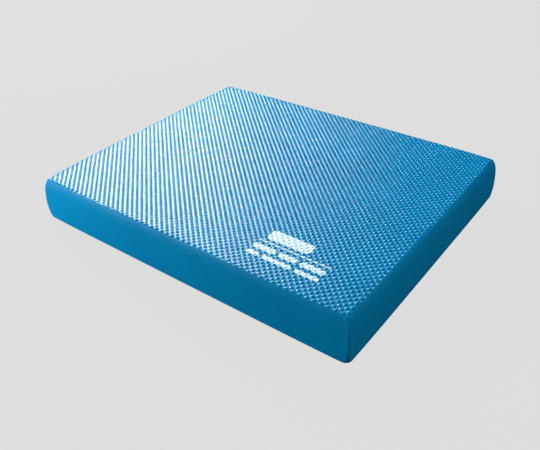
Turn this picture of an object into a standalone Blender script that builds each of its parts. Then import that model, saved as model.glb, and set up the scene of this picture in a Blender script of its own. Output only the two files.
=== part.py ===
"""Balance pad: a slab of soft closed-cell foam with moulded skins and a plain printed mark.

Frame: +Z up, origin on the floor under the middle of the pad, +X along the long side.
The printed mark reads from the -Y side.
"""

import math

import bpy

# ---------------------------------------------------------------- dimensions (metres)
LENGTH = 0.500          # widest outline along X
WIDTH = 0.410           # widest outline along Y
BODY_HEIGHT = 0.061     # floor to the plane the nubs stand on
NUB_HEIGHT = 0.0012     # the top skin's face is at the nubs' tips
SKIN = 0.0020           # thickness of the moulded skins
GAP = 0.0003            # clearance between touching pieces

# the moulded outer shape, from the floor to the top rim: share of the body height, how far the
# outline draws in, the corner radius, and how far the middle of a side stands out from its ends
PROFILE = (
    (0.00, 0.00015, 0.0090, 0.0008),
    (0.13, 0.00000, 0.0050, 0.0007),
    (0.32, 0.00015, 0.0024, 0.0005),
    (0.55, 0.00060, 0.0022, 0.0006),
    (0.74, 0.00130, 0.0023, 0.0010),
    (0.85, 0.00220, 0.0025, 0.0015),
    (0.93, 0.00350, 0.0026, 0.0019),
    (1.00, 0.00560, 0.0026, 0.0024),
)
TOP_SKIN_T = 0.0013     # top skin below the plane the nubs stand on
NUB_MARGIN = 0.0012     # run-out of the nub field at the rim
INNER_CORNER = 0.0008   # smallest corner radius on the inside

BASE_T = 0.0016         # bottom skin thickness
BASE_EDGE = 0.0013      # rounding of the lower edge

MARK_T = 0.0003         # ink film
MARK_POCKET = 0.0007    # depth the print presses the nubs down
MARK_SINK = 0.0001      # the print's face lies this far below the nub tips

CORNER_STEPS = 6
SIDE_STEPS = 12

BLUE = (0.004, 0.150, 0.330)
CORE_BLUE = (0.006, 0.190, 0.380)
WHITE = (0.86, 0.88, 0.89)

# plain bars of the printed mark: name, centre x, centre y, length, height, corner radius
MARK_BARS = (
    ("print_block", 0.1225, -0.1270, 0.0600, 0.0190, 0.0060),
    ("print_rule", 0.1385, -0.1425, 0.1010, 0.0016, 0.0007),
    ("print_upper_line", 0.1375, -0.1540, 0.0990, 0.0086, 0.0036),
    ("print_lower_line", 0.1375, -0.1675, 0.0990, 0.0066, 0.0028),
)


# ---------------------------------------------------------------- scene and materials
for old in list(bpy.data.objects):
    bpy.data.objects.remove(old, do_unlink=True)


def material(name, color, roughness):
    mat = bpy.data.materials.new(name)
    mat.use_nodes = True
    shader = mat.node_tree.nodes["Principled BSDF"]
    shader.inputs["Base Color"].default_value = (*color, 1.0)
    shader.inputs["Roughness"].default_value = roughness
    shader.inputs["Metallic"].default_value = 0.0
    mat.diffuse_color = (*color, 1.0)
    return mat


def make_object(name, verts, faces, mat):
    mesh = bpy.data.meshes.new(name)
    mesh.from_pydata(verts, [], faces)
    mesh.validate()
    mesh.update()
    mesh.materials.append(mat)
    mesh.shade_smooth()
    mesh.set_sharp_from_angle(angle=math.radians(35.0))
    obj = bpy.data.objects.new(name, mesh)
    bpy.context.collection.objects.link(obj)
    return obj


# ---------------------------------------------------------------- outlines
def outline(half_x, half_y, radius, bow, z):
    """One ring round the pad: four gently bowed sides and four round corners, counter-clockwise."""
    cx = half_x - bow - radius
    cy = half_y - bow - radius
    ring = []
    corners = ((1, -1), (1, 1), (-1, 1), (-1, -1))
    for k, (sx, sy) in enumerate(corners):
        start = math.radians(-90.0 + 90.0 * k)
        for i in range(CORNER_STEPS + 1):
            a = start + math.radians(90.0) * i / CORNER_STEPS
            ring.append((sx * cx + radius * math.cos(a), sy * cy + radius * math.sin(a), z))
        along_y = k % 2 == 0
        reach = cy if along_y else cx
        out = math.cos(start + math.radians(90.0)), math.sin(start + math.radians(90.0))
        for i in range(1, SIDE_STEPS):
            t = -1.0 + 2.0 * i / SIDE_STEPS
            stand = bow * (1.0 - abs(t) ** 6)
            if along_y:
                ring.append((out[0] * (half_x - bow + stand), out[0] * t * reach, z))
            else:
                ring.append((-out[1] * t * reach, out[1] * (half_y - bow + stand), z))
    return ring


def smooth_curve(stations, column, share):
    """Value of one profile column at a share of the height: a cubic through the stations that never overshoots."""
    xs = [row[0] for row in stations]
    ys = [row[column] for row in stations]
    steps = [xs[i + 1] - xs[i] for i in range(len(xs) - 1)]
    rates = [(ys[i + 1] - ys[i]) / steps[i] for i in range(len(steps))]
    slopes = [rates[0]]
    for i in range(1, len(steps)):
        if rates[i - 1] * rates[i] > 0.0:
            w1, w2 = 2 * steps[i] + steps[i - 1], steps[i] + 2 * steps[i - 1]
            slopes.append((w1 + w2) / (w1 / rates[i - 1] + w2 / rates[i]))
        else:
            slopes.append(0.0)
    slopes.append(1.25 * rates[-1])
    i = 0
    while i < len(steps) - 1 and share > xs[i + 1]:
        i += 1
    t = (share - xs[i]) / steps[i]
    return (
        (2 * t ** 3 - 3 * t ** 2 + 1) * ys[i]
        + (t ** 3 - 2 * t ** 2 + t) * steps[i] * slopes[i]
        + (3 * t ** 2 - 2 * t ** 3) * ys[i + 1]
        + (t ** 3 - t ** 2) * steps[i] * slopes[i + 1]
    )


def profile(z):
    """How far the outline draws in at height z, its corner radius and its bow."""
    return tuple(smooth_curve(PROFILE, column, z / BODY_HEIGHT) for column in (1, 2, 3))


def wall_ring(z, extra=0.0):
    """A ring on the outer shape, moved in by extra."""
    inset, radius, bow = profile(z)
    inset += extra
    return outline(LENGTH / 2 - inset, WIDTH / 2 - inset, max(radius - 0.5 * extra, INNER_CORNER), bow, z)


def inside_inset(z, depth):
    """How far in a surface lies at height z when it runs at a constant depth below the outer shape."""
    step = BODY_HEIGHT / 120
    below = None
    for i in range(121):
        at = step * i
        lean = (profile(min(at + step, BODY_HEIGHT))[0] - profile(max(at - step, 0.0))[0]) / (
            min(at + step, BODY_HEIGHT) - max(at - step, 0.0)
        )
        length = math.hypot(1.0, lean)
        here = (at - depth * lean / length, profile(at)[0] + depth / length)
        if below is not None and (here[0] >= z or i == 120):
            part = (z - below[0]) / (here[0] - below[0])
            return below[1] + part * (here[1] - below[1])
        below = here
    return below[1]


def inside_ring(z, depth):
    """A ring at height z on the surface that runs at a constant depth below the outer shape."""
    _, radius, bow = profile(z)
    inset = inside_inset(z, depth)
    return outline(LENGTH / 2 - inset, WIDTH / 2 - inset, max(radius - 0.5 * depth, INNER_CORNER), bow, z)


def stack(name, rings, mat, closed_loop=False):
    """Joins rings into one closed body: capped at both ends, or running round into a tube-like band."""
    count = len(rings[0])
    verts = [p for ring in rings for p in ring]
    faces = []
    rows = len(rings)
    for r in range(rows if closed_loop else rows - 1):
        a, b = r * count, ((r + 1) % rows) * count
        for i in range(count):
            j = (i + 1) % count
            faces.append((a + i, a + j, b + j, b + i))
    if not closed_loop:
        faces.append(tuple(reversed(range(count))))
        faces.append(tuple((rows - 1) * count + i for i in range(count)))
    return make_object(name, verts, faces, mat)


# ---------------------------------------------------------------- pieces
skin_top = material("skin_top_blue", BLUE, 0.42)
skin_side = material("skin_side_blue", BLUE, 0.45)
skin_base = material("skin_base_blue", BLUE, 0.55)
core_mat = material("core_foam_blue", CORE_BLUE, 0.85)
ink = material("ink_white", WHITE, 0.5)

Z_BAND = BASE_T + GAP
Z_SEAM = BODY_HEIGHT - TOP_SKIN_T - GAP
FACE_Z = BODY_HEIGHT + NUB_HEIGHT


def heights(low, high, count, crowd=1.0):
    """Heights from low to high, closer together towards the top when crowd is above one."""
    return [high - (high - low) * (1.0 - i / count) ** crowd for i in range(count + 1)]


# soft foam block inside the skins
core_rings = [inside_ring(z, SKIN + GAP) for z in heights(Z_BAND, Z_SEAM, 10, 1.7)]
stack("foam_core", core_rings, core_mat)

# smooth band round the four sides, drawn in over the shoulder up to the top rim
band = [wall_ring(z) for z in heights(Z_BAND, Z_SEAM, 14, 1.7)]
band += [inside_ring(z, SKIN) for z in reversed(heights(Z_BAND, Z_SEAM, 10, 1.7))]
stack("side_skin", band, skin_side, closed_loop=True)

# top skin: closes the band, with its standing face at the nub tips
top_rings = [wall_ring(z) for z in heights(BODY_HEIGHT - TOP_SKIN_T, BODY_HEIGHT, 2)]
rim_in, rim_r, rim_bow = profile(BODY_HEIGHT)
top_rings.append(
    outline(LENGTH / 2 - rim_in - NUB_MARGIN, WIDTH / 2 - rim_in - NUB_MARGIN, rim_r, rim_bow, FACE_Z)
)
top_skin = stack("top_skin", top_rings, skin_top)

# bottom skin: a flat sheet with a small rounding where it turns up into the sides
base_rings = []
for step in range(4):
    a = math.radians(90.0) * step / 3
    base_rings.append(wall_ring(z=BASE_EDGE * (1.0 - math.cos(a)), extra=BASE_EDGE * (1.0 - math.sin(a))))
base_rings.append(wall_ring(BASE_T))
stack("bottom_skin", base_rings, skin_base)


# ---------------------------------------------------------------- printed mark
def rounded_bar(cx, cy, length, height, radius, z0, z1, steps=4):
    """A flat bar with round corners, closed top and bottom."""
    ring = []
    for k, (sx, sy) in enumerate(((1, -1), (1, 1), (-1, 1), (-1, -1))):
        for i in range(steps + 1):
            a = math.radians(-90.0 + 90.0 * k + 90.0 * i / steps)
            ring.append((
                cx + sx * (length / 2 - radius) + radius * math.cos(a),
                cy + sy * (height / 2 - radius) + radius * math.sin(a),
            ))
    count = len(ring)
    verts = [(x, y, z0) for x, y in ring] + [(x, y, z1) for x, y in ring]
    faces = [tuple(reversed(range(count))), tuple(range(count, 2 * count))]
    faces += [(i, (i + 1) % count, count + (i + 1) % count, count + i) for i in range(count)]
    return verts, faces


mark_top = FACE_Z - MARK_SINK

# each bar lies in a shallow seat that the print presses into the nubs
for name, cx, cy, length, height, radius in MARK_BARS:
    verts, faces = rounded_bar(cx, cy, length, height, radius, mark_top - MARK_T, mark_top)
    make_object(name, verts, faces, ink)

    verts, faces = rounded_bar(
        cx, cy, length + 2 * GAP, height + 2 * GAP, radius + GAP, FACE_Z - MARK_POCKET, FACE_Z + 0.002
    )
    seat = make_object(name + "_seat", verts, faces, ink)
    seat.hide_render = True
    seat.display_type = "WIRE"

    cut = top_skin.modifiers.new(name + "_seat", "BOOLEAN")
    cut.operation = "DIFFERENCE"
    cut.solver = "EXACT"
    cut.object = seat
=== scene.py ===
"""Looks of the balance pad: nubbed top skin, smooth side skin, base skin, printed bars and foam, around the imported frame."""

import math

import bmesh
import bpy
import numpy as np
from mathutils import Matrix, Vector, geometry, noise


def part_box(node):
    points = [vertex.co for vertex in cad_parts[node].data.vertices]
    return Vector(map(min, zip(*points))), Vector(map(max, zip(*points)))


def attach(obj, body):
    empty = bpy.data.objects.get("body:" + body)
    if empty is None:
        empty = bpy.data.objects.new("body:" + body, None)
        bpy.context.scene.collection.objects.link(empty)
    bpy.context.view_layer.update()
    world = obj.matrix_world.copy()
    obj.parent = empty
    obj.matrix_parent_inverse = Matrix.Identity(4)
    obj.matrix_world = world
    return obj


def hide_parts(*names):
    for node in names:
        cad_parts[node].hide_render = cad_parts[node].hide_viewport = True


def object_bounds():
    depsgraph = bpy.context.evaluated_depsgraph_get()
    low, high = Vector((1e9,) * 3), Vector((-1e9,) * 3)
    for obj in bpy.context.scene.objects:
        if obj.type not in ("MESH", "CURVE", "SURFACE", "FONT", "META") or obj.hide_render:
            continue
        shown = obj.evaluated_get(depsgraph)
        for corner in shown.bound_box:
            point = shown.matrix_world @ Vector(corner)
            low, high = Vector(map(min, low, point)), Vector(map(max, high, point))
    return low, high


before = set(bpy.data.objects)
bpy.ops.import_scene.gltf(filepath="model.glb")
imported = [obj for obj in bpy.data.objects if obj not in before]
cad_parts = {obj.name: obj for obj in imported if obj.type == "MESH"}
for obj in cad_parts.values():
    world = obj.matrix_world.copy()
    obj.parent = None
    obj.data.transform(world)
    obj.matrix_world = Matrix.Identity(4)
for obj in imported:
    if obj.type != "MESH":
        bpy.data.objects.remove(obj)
CAD_BOX = [list(map(float, p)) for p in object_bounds()]
LOW, HIGH = Vector(CAD_BOX[0]), Vector(CAD_BOX[1])
MM = 0.001

# ---------------------------------------------------------------- shape constants (millimetres)
HX = (HIGH.x - LOW.x) * 500.0          # half length
HY = (HIGH.y - LOW.y) * 500.0          # half width
NUB_H = 1.4                            # nub height
TOP = HIGH.z * 1000.0 - 1.3            # plane the nubs stand on
BASE_T = 1.6
BASE_EDGE = 1.3
SKIN = 2.0
PITCH = 6.118                          # nub spacing along the lattice
LATTICE = math.radians(46.074)         # lattice turned against the pad's axes
PHASE_U, PHASE_V = 0.54, 0.09          # where the first nub sits, in pitches

# the side skin from floor to rim: share of the height, inset, corner radius, bow of the sides
STATIONS = (
    (0.00, 0.15, 9.0, 0.8),
    (0.13, 0.00, 5.0, 0.7),
    (0.32, 0.15, 2.4, 0.5),
    (0.55, 0.60, 2.2, 0.6),
    (0.74, 1.30, 2.3, 1.0),
    (0.85, 2.20, 2.5, 1.5),
    (0.93, 3.50, 2.6, 1.9),
    (1.00, 5.60, 2.6, 2.4),
)


# ---------------------------------------------------------------- outlines
CORNER_STEPS = 12
STEP_MM = 4.0


def outline(inset, radius, bow):
    """Closed ring round the pad (n x 2), counter-clockwise: bowed sides and round corners, evenly stepped."""
    hx, hy = HX - inset, HY - inset
    cx, cy = hx - bow - radius, hy - bow - radius
    nx, ny = int(round(2 * HX / STEP_MM)), int(round(2 * HY / STEP_MM))
    pts = []
    for k, (sx, sy) in enumerate(((1, -1), (1, 1), (-1, 1), (-1, -1))):
        a0 = math.radians(-90.0 + 90.0 * k)
        a = a0 + math.radians(90.0) * np.arange(CORNER_STEPS + 1) / CORNER_STEPS
        pts.append(np.stack([sx * cx + radius * np.cos(a), sy * cy + radius * np.sin(a)], 1))
        along_y = k % 2 == 0
        n = ny if along_y else nx
        t = -1.0 + 2.0 * np.arange(1, n) / n
        stand = bow * (1.0 - 0.9 * np.abs(t) ** 6 - 0.1 * t * t)
        ox, oy = math.cos(a0 + math.pi / 2), math.sin(a0 + math.pi / 2)
        if along_y:
            pts.append(np.stack([ox * (hx - bow + stand), ox * t * cy], 1))
        else:
            pts.append(np.stack([-oy * t * cx, oy * (hy - bow + stand)], 1))
    return np.concatenate(pts)


def cubic(xs, ys, x):
    """Smooth curve through the stations, without overshoot."""
    xs, ys = np.asarray(xs, float), np.asarray(ys, float)
    h = np.diff(xs)
    d = np.diff(ys) / h
    m = np.zeros(len(xs))
    for i in range(1, len(xs) - 1):
        if d[i - 1] * d[i] > 0:
            w1, w2 = 2 * h[i] + h[i - 1], h[i] + 2 * h[i - 1]
            m[i] = (w1 + w2) / (w1 / d[i - 1] + w2 / d[i])
    m[0], m[-1] = d[0], d[-1] * 1.25
    i = int(np.clip(np.searchsorted(xs, x, side="right") - 1, 0, len(h) - 1))
    t = (x - xs[i]) / h[i]
    return ((2 * t ** 3 - 3 * t ** 2 + 1) * ys[i] + (t ** 3 - 2 * t ** 2 + t) * h[i] * m[i]
            + (3 * t ** 2 - 2 * t ** 3) * ys[i + 1] + (t ** 3 - t ** 2) * h[i] * m[i + 1])


def wall_params(z):
    """Inset, corner radius and bow of the outer skin at height z (millimetres)."""
    cols = list(zip(*STATIONS))
    inset, radius, bow = (cubic(cols[0], c, z / TOP) for c in cols[1:])
    if z < BASE_EDGE:
        inset += BASE_EDGE - math.sqrt(max(0.0, BASE_EDGE ** 2 - (BASE_EDGE - z) ** 2))
    return inset, radius, bow


def wall_ring(z):
    return outline(*wall_params(z))


EDGE_R = 1.1                            # small rounding where the side turns into the top
RIM_Z = TOP - 0.45
RIM_IN, RIM_R, RIM_BOW = wall_params(TOP)
RIM_IN += 0.25
RIM = outline(RIM_IN, RIM_R, RIM_BOW)
N_RING = len(RIM)


def shoulder_fall(dist):
    """How far the top surface lies below the top plane, dist millimetres inside the rim."""
    x = np.clip(1.0 - dist / 1.5, 0.0, 1.0)
    return (TOP - RIM_Z) * x ** 2.2


# ---------------------------------------------------------------- mesh helpers
def new_mesh(name, verts_mm, faces, mat=None, smooth=True):
    me = bpy.data.meshes.new(name)
    me.from_pydata([tuple(float(c) * MM for c in v) for v in verts_mm], [], faces)
    me.validate()
    me.update()
    if smooth:
        me.shade_smooth()
    ob = bpy.data.objects.new(name, me)
    bpy.context.scene.collection.objects.link(ob)
    if mat is not None:
        me.materials.append(mat)
    return ob


def ring_faces(a, b, n):
    return [(a + i, a + (i + 1) % n, b + (i + 1) % n, b + i) for i in range(n)]


def fnoise(p, scale, seed):
    """Smooth noise in -1..1 at a point in millimetres."""
    return noise.noise(Vector((p[0] / scale + seed, p[1] / scale - seed, p[2] / scale + 0.37 * seed)))


# ---------------------------------------------------------------- top skin with its nub field
def dist_to_rim(points):
    """Distance in millimetres from each point to the rim ring, positive inside."""
    a = RIM
    b = np.roll(RIM, -1, 0)
    d = b - a
    length2 = (d ** 2).sum(1)
    out = np.empty(len(points))
    for lo in range(0, len(points), 4000):
        p = points[lo:lo + 4000]
        rel = p[:, None, :] - a[None]
        t = np.clip((rel * d).sum(2) / length2, 0, 1)
        near = rel - t[..., None] * d
        dd = np.sqrt((near ** 2).sum(2))
        i = dd.argmin(1)
        r = np.arange(len(p))
        cross = d[i, 0] * rel[r, i, 1] - d[i, 1] * rel[r, i, 0]
        out[lo:lo + 4000] = np.where(cross >= 0, dd[r, i], -dd[r, i])
    return out


def smoothstep(x, lo, hi):
    t = np.clip((x - lo) / (hi - lo), 0, 1)
    return t * t * (3 - 2 * t)


rng = np.random.default_rng(11)
E1 = np.array([math.cos(LATTICE), math.sin(LATTICE)])
E2 = np.array([-math.sin(LATTICE), math.cos(LATTICE)])
R_A, R_B = 0.165, 0.300          # nub rings, in pitches
H_A, H_B = 0.740, 0.015          # their heights, as a share of the nub


def build_top():
    reach = int(math.hypot(HX, HY) / PITCH) + 2
    index = {}
    verts, level = [], []       # in lattice coordinates; level = share of nub height
    nub_of = []

    def vert(key, u, v, share, nub):
        if key not in index:
            index[key] = len(verts)
            verts.append((u, v))
            level.append(share)
            nub_of.append(nub)
        return index[key]

    faces = []
    nubs = 0
    for i in range(-reach, reach + 1):
        for j in range(-reach, reach + 1):
            cu, cv = i + PHASE_U, j + PHASE_V
            c = (cu * E1 + cv * E2) * PITCH
            if abs(c[0]) > HX + 2 or abs(c[1]) > HY + 2:
                continue
            nub = nubs
            nubs += 1
            mid = vert(("m", i, j), cu, cv, 1.0, nub)
            ra, rb = [], []
            for k in range(8):
                a = k * math.pi / 4
                ra.append(vert(("a", i, j, k), cu + R_A * math.cos(a), cv + R_A * math.sin(a), H_A, nub))
                rb.append(vert(("b", i, j, k), cu + R_B * math.cos(a), cv + R_B * math.sin(a), H_B, nub))
            # cell corners, shared by four cells; corner k lies at 45 + 90 k degrees
            off = ((1, 1), (0, 1), (0, 0), (1, 0))
            corner = [vert(("c", i + a, j + b), cu + a - 0.5, cv + b - 0.5, 0.0, -1) for a, b in off]
            for k in range(8):
                n = (k + 1) % 8
                faces.append((mid, ra[k], ra[n]))
                faces.append((ra[k], rb[k], rb[n], ra[n]))
            for k in range(4):
                d0, side_mid, d1 = rb[2 * k + 1], rb[(2 * k + 2) % 8], rb[(2 * k + 3) % 8]
                c0, c1 = corner[k], corner[(k + 1) % 4]
                faces += [(d0, c0, side_mid), (side_mid, c0, c1), (side_mid, c1, d1)]
    uv = np.array(verts)
    xy = (uv[:, :1] * E1 + uv[:, 1:] * E2) * PITCH
    level = np.array(level)
    nub_of = np.array(nub_of)
    near = (np.abs(xy[:, 0]) > HX - 16) | (np.abs(xy[:, 1]) > HY - 16)
    dist = np.full(len(xy), 50.0)
    dist[near] = dist_to_rim(xy[near])
    ok = dist > 0.45
    faces = [f for f in faces if all(ok[i] for i in f)]
    used = np.zeros(len(xy), bool)
    for f in faces:
        used[list(f)] = True
    remap = -np.ones(len(xy), int)
    remap[used] = np.arange(used.sum())
    faces = [tuple(int(remap[i]) for i in f) for f in faces]
    xy, level, dist, nub_of = xy[used], level[used], dist[used], nub_of[used]

    # each nub a hair different in height, as moulded foam comes out
    vary = 1.0 + 0.05 * rng.standard_normal(nubs + 1)
    vary[-1] = 1.0
    amp = NUB_H * smoothstep(dist, 0.0, 1.5) * np.clip(vary[nub_of], 0.85, 1.15)
    slow = np.array([0.14 * fnoise((x, y, 0.0), 90.0, 3.1) for x, y in xy]) * smoothstep(dist, 0.0, 20.0)
    z = TOP - shoulder_fall(dist) + amp * level + slow
    z = np.minimum(z, HIGH.z * 1000.0 + 0.2)
    n_in = len(xy)

    # strip between the nub cells and the rim
    edge_count = {}
    for f in faces:
        for a, b in zip(f, f[1:] + f[:1]):
            key = (a, b) if a < b else (b, a)
            edge_count[key] = edge_count.get(key, 0) + 1
    open_edges = [k for k, n in edge_count.items() if n == 1]
    loop_ids = sorted({i for e in open_edges for i in e})
    back = {g: k for k, g in enumerate(loop_ids)}
    pts = [Vector(xy[g]) for g in loop_ids] + [Vector(p) for p in RIM]
    n_loop = len(loop_ids)
    cons = [(back[a], back[b]) for a, b in open_edges]
    cons += [(n_loop + i, n_loop + (i + 1) % N_RING) for i in range(N_RING)]
    ov, oe, of_, orig_v, orig_e, orig_f = geometry.delaunay_2d_cdt(pts, cons, [], 0, 1e-6, True)
    new_id = {}
    for k, src in enumerate(orig_v):
        if not src:
            raise RuntimeError("the rim strip made a point of its own")
        s = src[0]
        new_id[k] = loop_ids[s] if s < n_loop else n_in + (s - n_loop)
    walls = set()
    for a, b in open_edges:
        walls.add((min(a, b), max(a, b)))
    rim_edges = set()
    for i in range(N_RING):
        a, b = n_in + i, n_in + (i + 1) % N_RING
        rim_edges.add((min(a, b), max(a, b)))
    tris = [tuple(new_id[k] for k in f) for f in of_]
    by_edge = {}
    for t, f in enumerate(tris):
        for a, b in zip(f, f[1:] + f[:1]):
            by_edge.setdefault((min(a, b), max(a, b)), []).append(t)
    all_xy = np.concatenate([xy, RIM])
    # of the two triangles at a rim edge the larger one lies inside; the other is a sliver outside
    seen, queue = set(), []
    for e in sorted(rim_edges):
        sides = by_edge.get(e, [])
        sizes = [abs(np.cross(*(all_xy[list(tris[t])][1:] - all_xy[tris[t][0]]))) for t in sides]
        if sides:
            t = sides[int(np.argmax(sizes))]
            if t not in seen:
                seen.add(t)
                queue.append(t)
    while queue:
        t = queue.pop()
        f = tris[t]
        for a, b in zip(f, f[1:] + f[:1]):
            e = (min(a, b), max(a, b))
            if e in walls or e in rim_edges:
                continue
            for n in by_edge[e]:
                if n not in seen:
                    seen.add(n)
                    queue.append(n)
    strip = []
    for t in sorted(seen):
        f = tris[t]
        p = all_xy[list(f)]
        area = np.cross(p[1] - p[0], p[2] - p[0])
        strip.append(f if area > 0 else f[::-1])
    faces += strip

    all_z = np.concatenate([z, np.full(N_RING, RIM_Z)])
    surf = np.column_stack([all_xy, all_z])
    n_top = len(surf)

    # inner rings that close the skin below
    rim_low = outline(RIM_IN + 0.7, RIM_R, RIM_BOW)
    floor_in = outline(RIM_IN + 4.0, RIM_R, RIM_BOW)
    low = [np.column_stack([rim_low, np.full(N_RING, RIM_Z - SKIN + 0.3)]),
           np.column_stack([floor_in, np.full(N_RING, TOP - SKIN)])]
    verts_all = np.concatenate([surf] + low)
    a, b, c = n_in, n_top, n_top + N_RING
    closing = [(a + (i + 1) % N_RING, a + i, b + i, b + (i + 1) % N_RING) for i in range(N_RING)]
    closing += [(b + (i + 1) % N_RING, b + i, c + i, c + (i + 1) % N_RING) for i in range(N_RING)]
    closing.append(tuple(c + i for i in reversed(range(N_RING))))
    return verts_all, faces, closing, n_in, nubs


top_v, top_f, top_close, top_inner, n_nubs = build_top()
print("top:", len(top_v), "verts", sum(len(f) - 2 for f in top_f), "surface tris", n_nubs, "nubs")


# ---------------------------------------------------------------- materials
def node_material(name):
    mat = bpy.data.materials.new(name)
    mat.use_nodes = True
    nt = mat.node_tree
    nt.nodes.clear()
    out = nt.nodes.new("ShaderNodeOutputMaterial")
    bsdf = nt.nodes.new("ShaderNodeBsdfPrincipled")
    nt.links.new(bsdf.outputs["BSDF"], out.inputs["Surface"])
    return mat, nt, bsdf


def add(nt, kind, **values):
    node = nt.nodes.new(kind)
    for key, value in values.items():
        if hasattr(node, key):
            setattr(node, key, value)
        else:
            node.inputs[key].default_value = value
    return node


def noise_node(nt, vec, scale, detail=3.0, rough=0.55):
    n = nt.nodes.new("ShaderNodeTexNoise")
    n.inputs["Scale"].default_value = scale
    n.inputs["Detail"].default_value = detail
    n.inputs["Roughness"].default_value = rough
    nt.links.new(vec, n.inputs["Vector"])
    return n


def ramp(nt, fac, stops):
    r = nt.nodes.new("ShaderNodeValToRGB")
    e = r.color_ramp.elements
    e[0].position, e[0].color = stops[0][0], (*stops[0][1], 1)
    e[1].position, e[1].color = stops[-1][0], (*stops[-1][1], 1)
    for pos, col in stops[1:-1]:
        x = e.new(pos)
        x.color = (*col, 1)
    nt.links.new(fac, r.inputs["Fac"])
    return r


def remap_node(nt, value, a, b, c, d):
    m = nt.nodes.new("ShaderNodeMapRange")
    for key, v in (("From Min", a), ("From Max", b), ("To Min", c), ("To Max", d)):
        m.inputs[key].default_value = v
    nt.links.new(value, m.inputs["Value"])
    return m


def math_node(nt, op, a, b):
    m = nt.nodes.new("ShaderNodeMath")
    m.operation = op
    for k, v in enumerate((a, b)):
        if isinstance(v, (int, float)):
            m.inputs[k].default_value = v
        else:
            nt.links.new(v, m.inputs[k])
    return m


def mix_color(nt, fac, a, b, blend="MIX"):
    m = nt.nodes.new("ShaderNodeMix")
    m.data_type = "RGBA"
    m.blend_type = blend
    ins = {s.identifier: s for s in m.inputs}
    for key, v in (("Factor_Float", fac), ("A_Color", a), ("B_Color", b)):
        if isinstance(v, (int, float)):
            ins[key].default_value = v
        elif isinstance(v, tuple):
            ins[key].default_value = (*v, 1)
        else:
            nt.links.new(v, ins[key])
    return {s.identifier: s for s in m.outputs}["Result_Color"]


def bump(nt, bsdf, height, distance, strength=1.0, before=None):
    b = nt.nodes.new("ShaderNodeBump")
    b.inputs["Strength"].default_value = strength
    b.inputs["Distance"].default_value = distance
    nt.links.new(height, b.inputs["Height"])
    if before is not None:
        nt.links.new(before.outputs["Normal"], b.inputs["Normal"])
    nt.links.new(b.outputs["Normal"], bsdf.inputs["Normal"])
    return b


BLUE = (0.000, 0.212, 0.435)
BLUE_DEEP = (0.000, 0.185, 0.395)
BLUE_PALE = (0.002, 0.240, 0.470)


def top_material():
    mat, nt, bsdf = node_material("pad_top_blue")
    bsdf.inputs["Specular IOR Level"].default_value = 0.20
    tc = nt.nodes.new("ShaderNodeTexCoord")
    pos = tc.outputs["Object"]
    sep = nt.nodes.new("ShaderNodeSeparateXYZ")
    nt.links.new(pos, sep.inputs[0])
    height = remap_node(nt, sep.outputs["Z"], (TOP - 0.1) * MM, (TOP + NUB_H) * MM, 0.0, 1.0)
    # colour: deeper in the valleys, a little paler on the tips, slow batch variation
    slow = noise_node(nt, pos, 14.0, 3.0)
    fine = noise_node(nt, pos, 900.0, 2.0)
    tone = ramp(nt, height.outputs[0], ((0.0, BLUE_DEEP), (0.55, BLUE), (1.0, BLUE_PALE)))
    mott = remap_node(nt, slow.outputs["Fac"], 0.3, 0.7, 0.93, 1.06)
    speck = remap_node(nt, fine.outputs["Fac"], 0.3, 0.7, 0.96, 1.04)
    both = math_node(nt, "MULTIPLY", mott.outputs[0], speck.outputs[0])
    hsv = nt.nodes.new("ShaderNodeHueSaturation")
    nt.links.new(tone.outputs["Color"], hsv.inputs["Color"])
    nt.links.new(both.outputs[0], hsv.inputs["Value"])
    nt.links.new(hsv.outputs["Color"], bsdf.inputs["Base Color"])
    # gloss: tips polished by use, valleys matter
    r0 = remap_node(nt, height.outputs[0], 0.0, 1.0, 0.27, 0.17)
    r1 = remap_node(nt, noise_node(nt, pos, 60.0, 4.0).outputs["Fac"], 0.3, 0.7, -0.035, 0.035)
    rough = math_node(nt, "ADD", r0.outputs[0], r1.outputs[0])
    nt.links.new(rough.outputs[0], bsdf.inputs["Roughness"])
    bsdf.inputs["Specular Tint"].default_value = (0.80, 0.97, 1.0, 1)
    # moulded grain
    g1 = noise_node(nt, pos, 1500.0, 3.0, 0.6)
    g2 = noise_node(nt, pos, 420.0, 2.0, 0.5)
    b1 = bump(nt, bsdf, g2.outputs["Fac"], 0.00012, 0.30)
    bump(nt, bsdf, g1.outputs["Fac"], 0.00003, 0.4, b1)
    return mat


def side_material(name="pad_side_blue", rough=0.47):
    mat, nt, bsdf = node_material(name)
    bsdf.inputs["Specular IOR Level"].default_value = 0.06
    tc = nt.nodes.new("ShaderNodeTexCoord")
    pos = tc.outputs["Object"]
    slow = noise_node(nt, pos, 11.0, 4.0)
    fine = noise_node(nt, pos, 700.0, 2.0)
    tone = ramp(nt, slow.outputs["Fac"], ((0.3, BLUE_DEEP), (0.7, BLUE)))
    speck = remap_node(nt, fine.outputs["Fac"], 0.3, 0.7, 0.965, 1.035)
    hsv = nt.nodes.new("ShaderNodeHueSaturation")
    nt.links.new(tone.outputs["Color"], hsv.inputs["Color"])
    nt.links.new(speck.outputs[0], hsv.inputs["Value"])
    nt.links.new(hsv.outputs["Color"], bsdf.inputs["Base Color"])
    r1 = remap_node(nt, noise_node(nt, pos, 35.0, 5.0).outputs["Fac"], 0.3, 0.7, rough - 0.05, rough + 0.06)
    nt.links.new(r1.outputs[0], bsdf.inputs["Roughness"])
    # closed skin of the foam: soft orange peel with the finest pores
    peel = noise_node(nt, pos, 260.0, 2.0, 0.5)
    pores = nt.nodes.new("ShaderNodeTexVoronoi")
    pores.inputs["Scale"].default_value = 1300.0
    nt.links.new(pos, pores.inputs["Vector"])
    b1 = bump(nt, bsdf, peel.outputs["Fac"], 0.00030, 0.30)
    bump(nt, bsdf, pores.outputs["Distance"], 0.00005, 0.35, b1)
    return mat


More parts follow.
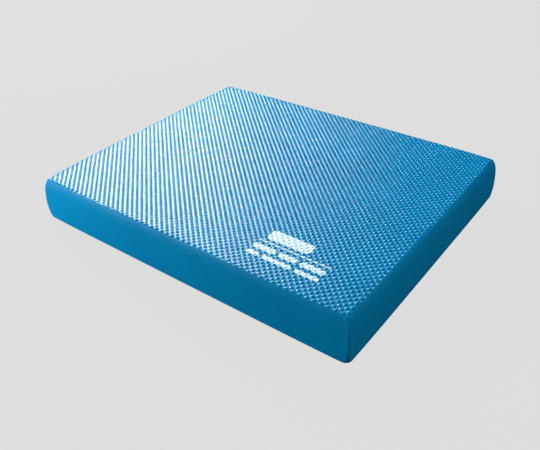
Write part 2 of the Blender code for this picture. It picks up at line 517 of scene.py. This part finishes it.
def ink_material():
    mat, nt, bsdf = node_material("print_white")
    tc = nt.nodes.new("ShaderNodeTexCoord")
    pos = tc.outputs["Object"]
    sep = nt.nodes.new("ShaderNodeSeparateXYZ")
    nt.links.new(pos, sep.inputs[0])
    height = remap_node(nt, sep.outputs["Z"], (TOP + 0.1) * MM, (TOP + 0.9 * NUB_H) * MM, 0.0, 1.0)
    wear = noise_node(nt, pos, 700.0, 4.0, 0.6)
    cover = math_node(nt, "ADD", height.outputs[0],
                      remap_node(nt, wear.outputs["Fac"], 0.3, 0.7, -0.25, 0.35).outputs[0])
    tone = ramp(nt, cover.outputs[0], ((0.0, (0.30, 0.56, 0.76)), (0.25, (0.62, 0.78, 0.88)), (0.6, (0.88, 0.92, 0.94))))
    nt.links.new(tone.outputs["Color"], bsdf.inputs["Base Color"])
    rr = remap_node(nt, wear.outputs["Fac"], 0.3, 0.7, 0.38, 0.52)
    nt.links.new(rr.outputs[0], bsdf.inputs["Roughness"])
    bump(nt, bsdf, wear.outputs["Fac"], 0.00005, 0.4)
    return mat


def foam_material():
    mat, nt, bsdf = node_material("core_foam_blue")
    tc = nt.nodes.new("ShaderNodeTexCoord")
    pos = tc.outputs["Object"]
    cells = nt.nodes.new("ShaderNodeTexVoronoi")
    cells.inputs["Scale"].default_value = 900.0
    nt.links.new(pos, cells.inputs["Vector"])
    tone = ramp(nt, cells.outputs["Distance"], ((0.0, (0.004, 0.15, 0.32)), (0.6, (0.012, 0.26, 0.50))))
    nt.links.new(tone.outputs["Color"], bsdf.inputs["Base Color"])
    rr = remap_node(nt, cells.outputs["Distance"], 0.0, 0.8, 0.95, 0.8)
    nt.links.new(rr.outputs[0], bsdf.inputs["Roughness"])
    bump(nt, bsdf, cells.outputs["Distance"], 0.0004, 0.8)
    return mat


TOP_MAT = top_material()
SIDE_MAT = side_material()
BASE_MAT = side_material("pad_base_blue", 0.6)
INK_MAT = ink_material()
FOAM_MAT = foam_material()

# ---------------------------------------------------------------- top skin object
top = new_mesh("nubbed_top_skin", top_v, top_f + top_close, TOP_MAT)
top.data.set_sharp_from_angle(angle=math.radians(60))


# ---------------------------------------------------------------- side skin
def build_side():
    rows = []
    zs = [BASE_T]
    zs += list(np.linspace(2.6, 0.55 * TOP, 9))
    zs += list(np.linspace(0.55 * TOP, TOP - EDGE_R, 15)[1:])
    for z in zs:
        rows.append(np.column_stack([wall_ring(z), np.full(N_RING, z)]))
    # small rounding from the wall into the top plane, ending on the rim ring
    i0, r0, b0 = wall_params(TOP - EDGE_R)
    z0 = TOP - EDGE_R
    for t in (0.35, 0.7):
        x = i0 + (RIM_IN - i0) * (0.55 * t + 0.45 * t * t)
        z = z0 + (RIM_Z - z0) * (1.45 * t - 0.45 * t * t)
        rows.append(np.column_stack([outline(x, r0 + (RIM_R - r0) * t, b0 + (RIM_BOW - b0) * t), np.full(N_RING, z)]))
        zs.append(z)
    rows.append(np.column_stack([RIM, np.full(N_RING, RIM_Z)]))
    zs.append(RIM_Z)
    outer = np.array(rows)
    # slow unevenness of soft foam, none at the rim and the foot
    for r in range(1, len(zs) - 1):
        z = zs[r]
        fade = max(0.0, min(1.0, (z - BASE_T) / 6.0, (RIM_Z - z) / 5.0))
        ring = outer[r]
        nxt, prv = np.roll(ring, -1, 0), np.roll(ring, 1, 0)
        tan = nxt[:, :2] - prv[:, :2]
        nor = np.column_stack([tan[:, 1], -tan[:, 0]])
        nor /= np.linalg.norm(nor, axis=1)[:, None]
        push = np.array([0.22 * fnoise(p, 80.0, 5.7) + 0.07 * fnoise(p, 26.0, 9.3) for p in ring]) * fade
        outer[r, :, :2] += nor * push[:, None]
    inner = [np.column_stack([outline(RIM_IN + 0.7, RIM_R, RIM_BOW), np.full(N_RING, RIM_Z - SKIN + 0.3)])]
    for z in (0.88 * TOP, 0.7 * TOP, 0.4 * TOP, BASE_T):
        i, r, b = wall_params(max(z, 6.0))
        inner.append(np.column_stack([outline(i + SKIN, max(r - 0.5 * SKIN, 0.8), b), np.full(N_RING, z)]))
    allrows = list(outer) + inner
    v = np.concatenate(allrows)
    f = []
    m = len(allrows)
    for r in range(m):
        f += ring_faces(r * N_RING, ((r + 1) % m) * N_RING, N_RING)
    return v, f


side_v, side_f = build_side()
side = new_mesh("side_skin_shell", side_v, side_f, SIDE_MAT)
side.data.set_sharp_from_angle(angle=math.radians(50))


# ---------------------------------------------------------------- base skin
def build_base():
    rows = []
    for z in [0.0] + [BASE_EDGE * (1 - math.cos(a)) for a in np.linspace(0, math.pi / 2, 7)[1:] if BASE_EDGE * (1 - math.cos(a)) < BASE_T] + [BASE_T]:
        rows.append(np.column_stack([wall_ring(z), np.full(N_RING, z)]))
    v = np.concatenate(rows)
    f = []
    for r in range(len(rows) - 1):
        f += ring_faces(r * N_RING, (r + 1) * N_RING, N_RING)
    f.append(tuple(reversed(range(N_RING))))
    f.append(tuple((len(rows) - 1) * N_RING + i for i in range(N_RING)))
    return v, f


base_v, base_f = build_base()
base = new_mesh("base_skin", base_v, base_f, BASE_MAT)
base.data.set_sharp_from_angle(angle=math.radians(50))


# ---------------------------------------------------------------- printed bars
def node_mm(name):
    lo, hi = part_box(name)
    return [c * 1000 for c in lo], [c * 1000 for c in hi]


def rounded(cx, cy, length, height, radius, steps=6):
    ring = []
    for k, (sx, sy) in enumerate(((1, -1), (1, 1), (-1, 1), (-1, -1))):
        for i in range(steps + 1):
            a = math.radians(-90 + 90 * k + 90 * i / steps)
            ring.append((cx + sx * (length / 2 - radius) + radius * math.cos(a),
                         cy + sy * (height / 2 - radius) + radius * math.sin(a)))
    return ring


def ink_piece(name, shapes):
    """A thin film that follows the nubs, cut to the given rounded shapes."""
    lo_x = min(s[0] - s[2] / 2 for s in shapes) - 8
    hi_x = max(s[0] + s[2] / 2 for s in shapes) + 8
    lo_y = min(s[1] - s[3] / 2 for s in shapes) - 8
    hi_y = max(s[1] + s[3] / 2 for s in shapes) + 8
    pick = [f for f in top_f if all(lo_x < top_v[i][0] < hi_x and lo_y < top_v[i][1] < hi_y for i in f)]
    ids = sorted({i for f in pick for i in f})
    back = {g: k for k, g in enumerate(ids)}
    n = len(ids)
    v = [top_v[g] + np.array([0, 0, 0.09]) for g in ids] + [top_v[g] - np.array([0, 0, 0.22]) for g in ids]
    f = [tuple(back[i] for i in q) for q in pick]
    count = {}
    for q in f:
        for a, b in zip(q, q[1:] + q[:1]):
            count.setdefault((min(a, b), max(a, b)), []).append((a, b))
    low = [tuple(i + n for i in reversed(q)) for q in f]
    sides = [(b, a, a + n, b + n) for e in count.values() if len(e) == 1 for a, b in e]
    film = new_mesh(name, v, f + low + sides, INK_MAT)
    cv, cf = [], []
    for cx, cy, length, height, radius in shapes:
        ring = rounded(cx, cy, length, height, radius)
        k, o = len(ring), len(cv)
        cv += [(x, y, TOP - 4) for x, y in ring] + [(x, y, TOP + 4) for x, y in ring]
        cf.append(tuple(o + i for i in reversed(range(k))))
        cf.append(tuple(o + k + i for i in range(k)))
        cf += [(o + i, o + (i + 1) % k, o + k + (i + 1) % k, o + k + i) for i in range(k)]
    cutter = new_mesh(name + "_cutter", cv, cf, None, smooth=False)
    mod = film.modifiers.new("cut", "BOOLEAN")
    mod.operation = "INTERSECT"
    mod.solver = "EXACT"
    mod.object = cutter
    dg = bpy.context.evaluated_depsgraph_get()
    me = bpy.data.meshes.new_from_object(film.evaluated_get(dg))
    film.modifiers.clear()
    old = film.data
    film.data = me
    bpy.data.meshes.remove(old)
    bpy.data.objects.remove(cutter)
    me.materials.clear()
    me.materials.append(INK_MAT)
    me.shade_smooth()
    me.set_sharp_from_angle(angle=math.radians(50))
    return film


def bar_shape(node, radius):
    lo, hi = node_mm(node)
    return ((lo[0] + hi[0]) / 2, (lo[1] + hi[1]) / 2, hi[0] - lo[0], hi[1] - lo[1], radius)


def dashes(node, shares, gap, radius):
    """Splits a bar into dashes with the given relative lengths."""
    lo, hi = node_mm(node)
    total = hi[0] - lo[0] - gap * (len(shares) - 1)
    x = lo[0]
    out = []
    for s in shares:
        w = total * s / sum(shares)
        out.append((x + w / 2, (lo[1] + hi[1]) / 2, w, hi[1] - lo[1], radius))
        x += w + gap
    return out


ink_parts = {
    "print_block": ink_piece("ink_block", [bar_shape("print_block", 6.0)]),
    "print_rule": ink_piece("ink_rule", [bar_shape("print_rule", 0.7)]),
    "print_upper_line": ink_piece("ink_upper_line", dashes("print_upper_line", (32, 25, 33), 4.5, 3.6)),
    "print_lower_line": ink_piece("ink_lower_line", dashes("print_lower_line", (17, 40, 32), 5.0, 2.8)),
}

# ---------------------------------------------------------------- riding, replacing, finishes
for piece, node, slot in (
    (top, "top_skin", "skin_top_blue"),
    (side, "side_skin", "skin_side_blue"),
    (base, "bottom_skin", "skin_base_blue"),
):
    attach(piece, "root")
    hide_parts(node)
for node, piece in ink_parts.items():
    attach(piece, "root")
    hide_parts(node)
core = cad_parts["foam_core"]
core.data.materials.clear()
core.data.materials.append(FOAM_MAT)

# ---------------------------------------------------------------- floor, light, camera
bm = bmesh.new()
bmesh.ops.create_grid(bm, x_segments=1, y_segments=1, size=8.0)
me = bpy.data.meshes.new("studio_floor")
bm.to_mesh(me)
bm.free()
floor = bpy.data.objects.new("studio_floor", me)
floor.location = (0, 0, -0.0002)
bpy.context.scene.collection.objects.link(floor)
fmat, fnt, fb = node_material("floor_pale")
fb.inputs["Base Color"].default_value = (0.01, 0.01, 0.01, 1)
fb.inputs["Roughness"].default_value = 1.0
fb.inputs["Specular IOR Level"].default_value = 0.0
fb.inputs["Emission Color"].default_value = (1, 1, 1, 1)
fb.inputs["Emission Strength"].default_value = 0.715
# an even ground, which gives the object no light of its own
floor.visible_diffuse = False
floor.visible_glossy = False
me.materials.append(fmat)

world = bpy.data.worlds.new("studio")
bpy.context.scene.world = world
world.use_nodes = True
bg = world.node_tree.nodes["Background"]
bg.inputs["Color"].default_value = (1, 1, 1, 1)
bg.inputs["Strength"].default_value = 0.02


def area(name, loc, target, size_x, size_y, power, color=(1, 1, 1)):
    data = bpy.data.lights.new(name, "AREA")
    data.shape = "RECTANGLE"
    data.size, data.size_y = size_x, size_y
    data.energy = power
    data.color = color
    ob = bpy.data.objects.new(name, data)
    ob.location = loc
    ob.rotation_euler = (Vector(target) - Vector(loc)).to_track_quat("-Z", "Y").to_euler()
    bpy.context.scene.collection.objects.link(ob)
    return ob


def panel(name, turn, rise, away, size_x, size_y, radiance):
    """A soft panel aimed at the pad: turn from -X towards +Y and rise over the floor in degrees."""
    t, e = math.radians(turn), math.radians(rise)
    loc = (-away * math.cos(e) * math.cos(t), away * math.cos(e) * math.sin(t), 0.05 + away * math.sin(e))
    return area(name, loc, (0, 0, 0.05), size_x, size_y, math.pi * size_x * size_y * radiance)


panel("key_back_left", 28.0, 31.0, 1.7, 1.10, 0.70, 24.0)
panel("key_back", 56.0, 35.0, 1.7, 0.50, 0.60, 3.0)
area("fill_left", (-0.9, -1.1, 0.35), (-0.1, 0, 0.05), 0.8, 0.5, 6.8)
area("fill_left_near", (-0.52, -0.62, 0.22), (-0.20, -0.2, 0.03), 0.4, 0.3, 3.9)
area("fill_right_far", (1.3, 0.9, 0.6), (0.2, 0.1, 0.05), 0.7, 0.6, 2.5)
area("fill_front", (0.9, -1.2, 0.35), (0.15, -0.1, 0.03), 0.5, 0.5, 2.8)
area("fill_right", (1.2, 0.2, 1.1), (0.2, 0.1, 0.05), 0.6, 0.5, 9.1)


def camera_from(az, el, roll, tx, ty, dist, focal_px):
    az, el, roll = map(math.radians, (az, el, roll))
    back = Vector((math.sin(az) * math.cos(el), -math.cos(az) * math.cos(el), math.sin(el)))
    fwd = -back
    right = fwd.cross(Vector((0, 0, 1))).normalized()
    down = fwd.cross(right)
    c, s = math.cos(roll), math.sin(roll)
    r0 = right * c - down * s
    r1 = right * s + down * c
    loc = -(r0 * tx + r1 * ty + fwd * dist) * MM
    m = Matrix((
        (r0.x, -r1.x, -fwd.x, loc.x),
        (r0.y, -r1.y, -fwd.y, loc.y),
        (r0.z, -r1.z, -fwd.z, loc.z),
        (0, 0, 0, 1),
    ))
    data = bpy.data.cameras.new("camera")
    data.sensor_width = 36.0
    data.lens = focal_px / 540.0 * 36.0
    data.clip_start, data.clip_end = 0.01, 100.0
    ob = bpy.data.objects.new("camera", data)
    ob.matrix_world = m
    bpy.context.scene.collection.objects.link(ob)
    bpy.context.scene.camera = ob
    return ob


camera_from(37.77, 34.735, -1.83, 4.15, -28.79, 915.25, 628.5)
bpy.context.scene.view_settings.view_transform = "Standard"
